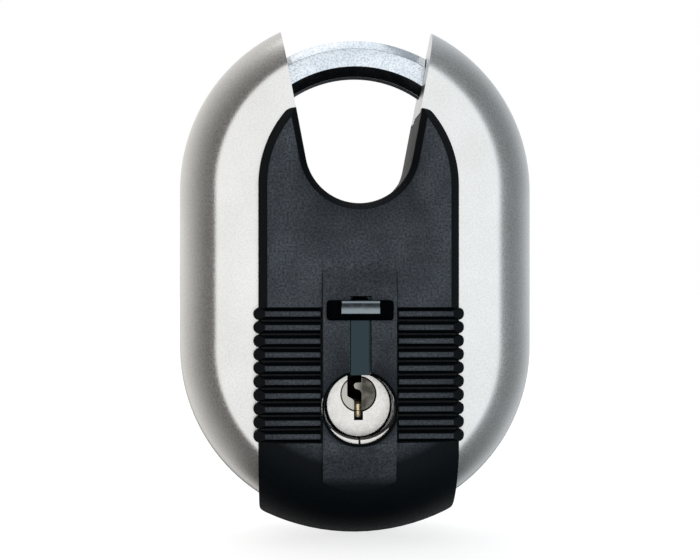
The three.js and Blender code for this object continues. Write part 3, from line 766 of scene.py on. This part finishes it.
front_cover = front_cover_solid()
place(front_cover, "housing", FRONT_PLASTIC, ["front_cover"], bevel=0.12, sharp=40)
rear_cover = mirrored(cover_solid("rear_cover_skin", REAR_FACE, REAR_DOME, REAR_WIDEN), "y")
place(rear_cover, "housing", REAR_PLASTIC, ["rear_cover"], bevel=0.12, sharp=40)


# -------------------------------------------------------------- cylinder

def keyway(rise=0.0):
    points = [
        (-2.66, 4.6 + rise), (0.72, 4.6 + rise), (0.72, 2.75), (0.45, 2.68), (-0.62, 2.62),
        (-0.95, 2.4), (-1.05, 2.0), (-0.95, 1.5), (-0.6, 1.2), (0.1, 1.0), (0.5, 0.7), (0.75, 0.2),
        (0.79, -0.4), (0.79, -6.2), (-1.0, -6.2), (-1.0, -2.1), (-1.1, -1.6), (-1.4, -1.25),
        (-2.3, -0.72), (-2.6, -0.5), (-2.66, -0.2),
    ]
    return [(x, z + PLUG_Z) for x, z in points]


FACE_R, FACE_Z = 7.58, BARREL_Z + 0.35
# Depths in metres, just behind each piece's front, where the painted shade starts
BARREL_SHADE_Y, PLUG_SHADE_Y, BEZEL_SHADE_Y = -0.01255, -0.01225, -0.01795


def barrel_solid():
    """The cylinder's round face and body, with the plug's bore and the slot below it."""
    nose = [(7.4, -13), (7.5, -12.97), (7.56, -12.9), (FACE_R, -12.8), (FACE_R, -11.8)]
    barrel = turned(nose, 0, FACE_Z, 128, "cylinder_face")
    combine(barrel, turned([(7.75, -12.0), (7.75, 4.4)], 0, BARREL_Z, 128), "UNION")
    combine(barrel, turned([(4.3, -16), (4.3, -12.97), (4.24, -12.9), (4.24, 9)], 0, PLUG_Z, 96))
    combine(barrel, plate(keyway(1.0), -16, -10.6))
    combine(barrel, box(-1.08, 1.06, -16, -8.8, PLUG_Z - 6.2, PLUG_Z - 3.6))
    return barrel


def plug_solid():
    core = [(3.95, -12.6), (4.08, -12.55), (4.15, -12.4), (4.15, 4.7)]
    plug = turned(core, 0, PLUG_Z, 96, "plug_core")
    combine(plug, plate(keyway(), -16, 1.9))
    tail = [(2.0, 4.6), (2.0, 10.7), (1.9, 10.8)]
    combine(plug, turned(tail, 0, PLUG_Z, 32), "UNION")
    return plug


def painted_shade_behind(piece, depth):
    """Gives every face further back than depth, in metres, the nickel painted near black as shade.
    """
    piece.data.materials.append(PAINTED_SHADE)
    for face in piece.data.polygons:
        face.material_index = 1 if face.center.y > depth else 0


# Behind their fronts the barrel and plug are painted near black as shade
barrel = place(barrel_solid(), "housing", NICKEL, ["cylinder_body"], sharp=12)
painted_shade_behind(barrel, BARREL_SHADE_Y)
plug = place(plug_solid(), "plug", PLUG, ["plug"], sharp=12)
painted_shade_behind(plug, PLUG_SHADE_Y)


def bezel_solid():
    """A split ring that shows as a crescent below the cylinder's face."""
    rings = []
    for i in range(121):
        a = -99.3 + 197.4 * i / 120 + 0.4 * (i >= 60)
        inner = min(9.02 - 1.74 * math.cos(a * DEG), 8.4)
        front = -18.0 + min(1, max(0, (abs(a) - 55) / 15)) * 1.2
        section = [
            (inner + 0.02, -13.8), (8.6, -13.8), (8.6, front + 0.1), (8.5, front),
            (inner + 0.1, front), (inner + 0.02, front + 0.08),
        ]
        s, c = math.sin(a * DEG), math.cos(a * DEG)
        rings.append([(r * s, y, BARREL_Z - r * c) for r, y in section])
    left = loft(rings[:60], "bezel_liner")
    return combine(left, loft(rings[61:]), "UNION")


bezel = place(bezel_solid(), "housing", NICKEL, ["bezel_ring"], sharp=35)
# The bezel's wall behind its front is painted near black as shade
painted_shade_behind(bezel, BEZEL_SHADE_Y)


FRONT_PIN_R, FRONT_PIN_Y = 0.95, -10.3


def pin(name, top, foot, domed):
    """A brass pin along Z at the front of the row; its lower end is domed or rounded."""
    r = FRONT_PIN_R
    if domed:
        end = [(x, PLUG_Z - math.sqrt(foot ** 2 - x ** 2)) for x in (0.05, 0.3, 0.6, 0.85, r)]
    else:
        end = [
            (0.2, PLUG_Z - foot), (0.55, PLUG_Z - foot + 0.02),
            (0.8, PLUG_Z - foot + 0.12), (r, PLUG_Z - foot + 0.4),
        ]
    head = [(r, PLUG_Z - top - 0.05), (r - 0.06, PLUG_Z - top)]
    return upright(0, FRONT_PIN_Y, end + head, 48, name)


# The two front pins show through the keyway's open foot
key_pin = pin("front_key_pin", 2.5, 4.14, True)
place(key_pin, "key_pins", BRASS, ["key_pin_1"], sharp=30)
driver_pin = pin("front_driver_pin", 4.15, 5.85, False)
place(driver_pin, "driver_pins", BRASS, ["driver_pin_1"], sharp=30)


# ----------------------------------------------------------------- slide

BAR_HALF_X, BAR_HALF_Z, BAR_CORNER, THUMB_HALF = 7.75, 2.35, 0.8, 4.35
# The thumb bar's section as (y, z), with the dish in its front
BAR_SECTION = [
    (-19.6, -2.2), (-19.6, 2.2), (-20.0, 2.35), (-22.3, 2.35), (-22.75, 2.27), (-23.0, 2.08),
    (-23.0, 1.9),
    (-22.94, 1.72), (-22.82, 1.48), (-22.67, 1.2), (-22.52, 0.9), (-22.39, 0.6), (-22.30, 0.3),
    (-22.25, 0), (-22.23, -0.3), (-22.24, -0.6), (-22.2, -0.78), (-21.9, -1.05), (-21.3, -1.55),
    (-20.9, -2.0), (-20.3, -2.35),
]


def bar_ring(x):
    """The thumb bar's section at x: dished in the middle, falling away at the ends."""
    side = abs(x)
    front = -23.0 if side <= THUMB_HALF else -22.35 + (side - THUMB_HALF) * 0.5
    squeeze = 1.0
    if side > BAR_HALF_X - BAR_CORNER:
        t = (side - BAR_HALF_X + BAR_CORNER) / BAR_CORNER
        squeeze = 1 - BAR_CORNER * (1 - math.sqrt(max(0, 1 - t * t))) / BAR_HALF_Z
        front += 0.35 * (1 - math.sqrt(max(0, 1 - t * t)))
    return [(x, max(y, front), BAR_Z + z * squeeze) for y, z in BAR_SECTION]


def slide_solid():
    """The T-shaped slide: a dished thumb bar on a long shutter."""
    right = [0, 2.2, 4.1, 4.28, THUMB_HALF, 4.42, 4.5, 5.5, 6.5, 6.95, 7.2, 7.42, 7.6, 7.7, 7.75]
    across = [-x for x in reversed(right[1:])] + right
    bar = loft([bar_ring(x) for x in across], "keyhole_slide")
    corner = 0.8
    foot_to_top = [(SLIDE_HALF, SLIDE_FOOT), (SLIDE_HALF, SLIDE_TOP - corner)]
    foot_to_top += [
        (
            SLIDE_HALF - corner + corner * math.cos(a * DEG),
            SLIDE_TOP - corner + corner * math.sin(a * DEG),
        )
        for a in range(15, 91, 15)
    ]
    tab = plate(foot_to_top + [(-x, z) for x, z in reversed(foot_to_top)], -18.6, -16.2)
    shutter = box(-SLIDE_HALF, SLIDE_HALF, -18.9, -16.2, SLIDE_FOOT, BAR_Z)
    combine(bar, box(-SLIDE_HALF, SLIDE_HALF, -20.5, -18.5, BAR_Z - 2.2, BAR_Z + 2.2), "UNION")
    combine(bar, shutter, "UNION")
    combine(bar, tab, "UNION")
    combine(bar, box(-RAIL_HALF, RAIL_HALF, -17.0, -16.2, SLIDE_FOOT + 0.4, SLIDE_TOP), "UNION")
    return bar


slide = slide_solid()
place(slide, "key_cover", GLOSS, ["key_cover_slide"], bevel=0.1, sharp=40)
slide.data.materials.append(THUMB)
slide.data.materials.append(SHADED_BLACK)
# Limits in metres, in the row frame: the dished pad, then the bar and the tab above it, which get
# the black painted as shade
PAD_HALF, PAD_BACK_Y, PAD_FOOT_Z = 0.0044, -0.0221, -0.0577
BAR_BACK_Y, SHUTTER_TOP_Z = -0.0191, -0.0565
for face in slide.data.polygons:
    x, y, z = face.center
    on_pad = abs(x) < PAD_HALF and y < PAD_BACK_Y and z > PAD_FOOT_Z
    on_bar = y < BAR_BACK_Y or z > SHUTTER_TOP_Z
    face.material_index = 1 if on_pad else 2 if on_bar else 0


# ----------------------------------------------------------------- stage

def studio_world():
    """White to the camera; to the object, a bright front, grey sides and a light rear."""
    world = bpy.data.worlds.new("studio")
    world.use_nodes = True
    tree = world.node_tree
    tree.nodes.clear()

    def node(kind, **settings):
        made = tree.nodes.new("ShaderNode" + kind)
        for name, value in settings.items():
            setattr(made, name, value)
        return made

    def remap(source, start, end, low, high):
        made = node("MapRange")
        limits = {"From Min": start, "From Max": end, "To Min": low, "To Max": high}
        for socket, value in limits.items():
            made.inputs[socket].default_value = value
        tree.links.new(source, made.inputs["Value"])
        return made.outputs["Result"]

    def times(a, b):
        made = node("Math", operation="MULTIPLY")
        tree.links.new(a, made.inputs[0])
        tree.links.new(b, made.inputs[1])
        return made.outputs["Value"]

    direction = node("TexCoord")
    split = node("SeparateXYZ")
    tree.links.new(direction.outputs["Generated"], split.inputs["Vector"])
    depth = remap(split.outputs["Y"], -1, 1, 0, 1)

    def levels_along(source, stops):
        ramp = node("ValToRGB")
        while len(ramp.color_ramp.elements) < len(stops):
            ramp.color_ramp.elements.new(0.5)
        for element, (position, level) in zip(ramp.color_ramp.elements, stops):
            element.position = position
            element.color = (level, level, level, 1)
        tree.links.new(source, ramp.inputs["Fac"])
        return ramp.outputs["Color"]

    left = levels_along(depth, [
        (0.0, 1.42), (0.075, 1.40), (0.12, 0.20), (0.24, 0.19),
        (0.42, 0.44), (0.60, 0.74), (0.8, 1.0), (1.0, 1.1),
    ])
    right = levels_along(depth, [
        (0.0, 1.42), (0.075, 1.40), (0.125, 1.1), (0.18, 0.75), (0.25, 0.34),
        (0.39, 0.30), (0.57, 0.44), (0.75, 0.74), (1.0, 1.0),
    ])
    height = levels_along(remap(split.outputs["Z"], -1, 1, 0, 1), [
        (0.0, 0.0), (0.06, 0.01), (0.16, 0.86), (0.30, 1.02), (0.46, 1.0),
        (0.60, 1.0), (0.76, 0.90), (0.90, 0.98), (1.0, 1.65),
    ])
    # A dark card low behind the lock, and a darker floor side
    card = node("VectorMath", operation="DOT_PRODUCT")
    card.inputs[1].default_value = Vector((0.0, 0.96, -0.30)).normalized()
    tree.links.new(direction.outputs["Generated"], card.inputs[0])
    level = times(remap(card.outputs["Value"], 0.86, 0.965, 1, 0.03), height)
    tone = node("Mix", data_type="RGBA")
    tree.links.new(remap(split.outputs["X"], -0.3, 0.3, 0, 1), tone.inputs[0])
    tree.links.new(left, tone.inputs[6])
    tree.links.new(right, tone.inputs[7])
    side = node("Mix", data_type="RGBA")
    side.inputs[6].default_value = (1.03, 1.0, 0.97, 1)
    side.inputs[7].default_value = (0.95, 1.0, 1.05, 1)
    tree.links.new(remap(split.outputs["X"], -0.4, 0.4, 0, 1), side.inputs[0])
    tinted = node("Mix", data_type="RGBA", blend_type="MULTIPLY")
    tinted.inputs[0].default_value = 1.0
    tree.links.new(tone.outputs[2], tinted.inputs[6])
    tree.links.new(side.outputs[2], tinted.inputs[7])
    soft, plain = node("Background"), node("Background")
    tree.links.new(tinted.outputs[2], soft.inputs["Color"])
    tree.links.new(level, soft.inputs["Strength"])
    plain.inputs["Color"].default_value = (1, 1, 1, 1)
    path, pick, output = node("LightPath"), node("MixShader"), node("OutputWorld")
    tree.links.new(path.outputs["Is Camera Ray"], pick.inputs["Fac"])
    tree.links.new(soft.outputs["Background"], pick.inputs[1])
    tree.links.new(plain.outputs["Background"], pick.inputs[2])
    tree.links.new(pick.outputs["Shader"], output.inputs["Surface"])
    return world


bpy.context.scene.world = studio_world()


def floor_material():
    material = bpy.data.materials.new("pale_floor")
    material.use_nodes = True
    nodes = material.node_tree
    shader = nodes.nodes["Principled BSDF"]
    shader.inputs["Base Color"].default_value = (0.55, 0.55, 0.55, 1)
    shader.inputs["Roughness"].default_value = 1.0
    shader.inputs["Specular IOR Level"].default_value = 0.0
    shader.inputs["Emission Color"].default_value = (1, 1, 1, 1)
    shader.inputs["Emission Strength"].default_value = 0.72
    return material


low, high = cad_box
FLOOR_HALF, FLOOR_DROP = 4, 0.0004
floor_z = low.z - FLOOR_DROP
corners = [(-1, -1), (1, -1), (1, 1), (-1, 1)]
floor = new_piece(
    "floor", [(x * FLOOR_HALF, y * FLOOR_HALF, floor_z) for x, y in corners], [(0, 1, 2, 3)])
floor.data.materials.append(floor_material())
floor.visible_glossy = False
floor.visible_diffuse = False


def softbox(name, location, target, size, power):
    light = bpy.data.lights.new(name, "AREA")
    light.shape = "RECTANGLE"
    light.size, light.size_y = size
    light.energy = power
    lamp = bpy.data.objects.new(name, light)
    lamp.location = location
    aim = Vector(target) - Vector(location)
    lamp.rotation_mode = "QUATERNION"
    lamp.rotation_quaternion = aim.to_track_quat("-Z", "Y")
    bpy.context.scene.collection.objects.link(lamp)
    return lamp


middle = (0, 0, (low.z + high.z) / 2)
softbox("front_light", (0.034, -0.60, 0.02), middle, (0.4, 0.3), 0.06)
softbox("top_light", (-0.05, 0.1, 0.7), middle, (0.5, 0.4), 0.5)

CAMERA_YAW = 2.9 * DEG
CAMERA_DISTANCE = 0.300
FRAME_WIDTH = 0.17325
SENSOR_WIDTH = 36
camera_data = bpy.data.cameras.new("camera")
camera_data.sensor_width = SENSOR_WIDTH
camera_data.lens = SENSOR_WIDTH * CAMERA_DISTANCE / FRAME_WIDTH
camera_data.clip_start = 0.01
camera = bpy.data.objects.new("camera", camera_data)
forward = Vector((math.sin(CAMERA_YAW), math.cos(CAMERA_YAW), 0))
aim_point = Vector((-0.00135, 0, -0.0499))
camera.location = aim_point - forward * CAMERA_DISTANCE
camera.rotation_mode = "QUATERNION"
camera.rotation_quaternion = forward.to_track_quat("-Z", "Y")
bpy.context.scene.collection.objects.link(camera)
bpy.context.scene.camera = camera
bpy.context.scene.view_settings.view_transform = "Standard"
